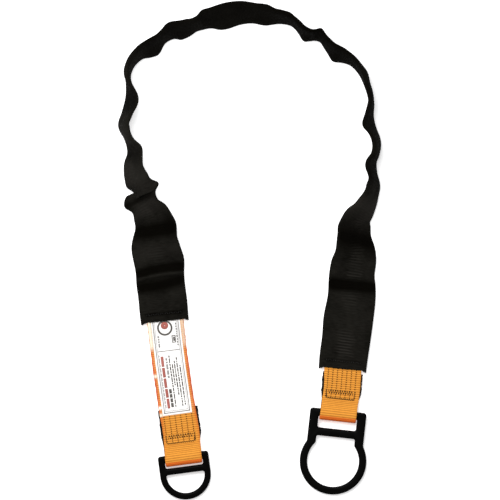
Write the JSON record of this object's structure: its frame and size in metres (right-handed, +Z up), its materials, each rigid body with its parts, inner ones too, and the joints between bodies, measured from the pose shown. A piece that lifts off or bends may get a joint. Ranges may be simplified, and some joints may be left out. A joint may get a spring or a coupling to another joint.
{
  "type": "anchor strap",
  "caption": "Webbing anchor strap in a loose wear sleeve, with a D-ring and a larger pass-through ring in its sewn ends.",
  "frame": {"origin": "middle of the bounding box's bottom, on the surface the strap lies on", "axes": "+Z up from that surface, +Y from the rings towards the crown of the U, +X from the small ring's end towards the large ring's end"},
  "size_m": [0.3199, 0.6076, 0.0571],
  "materials": {
    "orange_webbing": "bright orange polyester webbing, matte, with a fine cross-ribbed weave",
    "black_webbing": "black nylon webbing, matte",
    "sleeve_webbing": "black tubular nylon webbing, matte, with fine cross ribs",
    "black_steel": "black satin coating on steel",
    "printed_label": "white label sheet with a plain grey border",
    "clear_film": "clear glossy plastic film",
    "black_thread": "black bonded sewing thread"
  },
  "bodies": {
    "strap": {"core_webbing": "orange_webbing", "wear_pad_small_ring": "black_webbing", "wear_pad_large_ring": "black_webbing", "wear_sleeve": "sleeve_webbing", "printed_label": "printed_label", "label_cover_film": "clear_film", "end_stitching_small_ring": "black_thread", "end_stitching_large_ring": "black_thread", "sleeve_tack_small_ring": "black_thread", "sleeve_tack_large_ring": "black_thread"},
    "small_ring": {"small_d_ring": "black_steel"},
    "large_ring": {"large_pass_ring": "black_steel"}
  },
  "joints": [
    {"name": "small_ring_swing", "type": "hinge", "parent": "strap", "child": "small_ring", "pos_m": [-0.0804, -0.252, 0.0093], "axis": [-0.9914, -0.1312, 0], "range_deg": [-105, 150]},
    {"name": "large_ring_swing", "type": "hinge", "parent": "strap", "child": "large_ring", "pos_m": [0.1086, -0.199, 0.0093], "axis": [-0.994, 0.1091, 0], "range_deg": [-135, 165]}
  ]
}
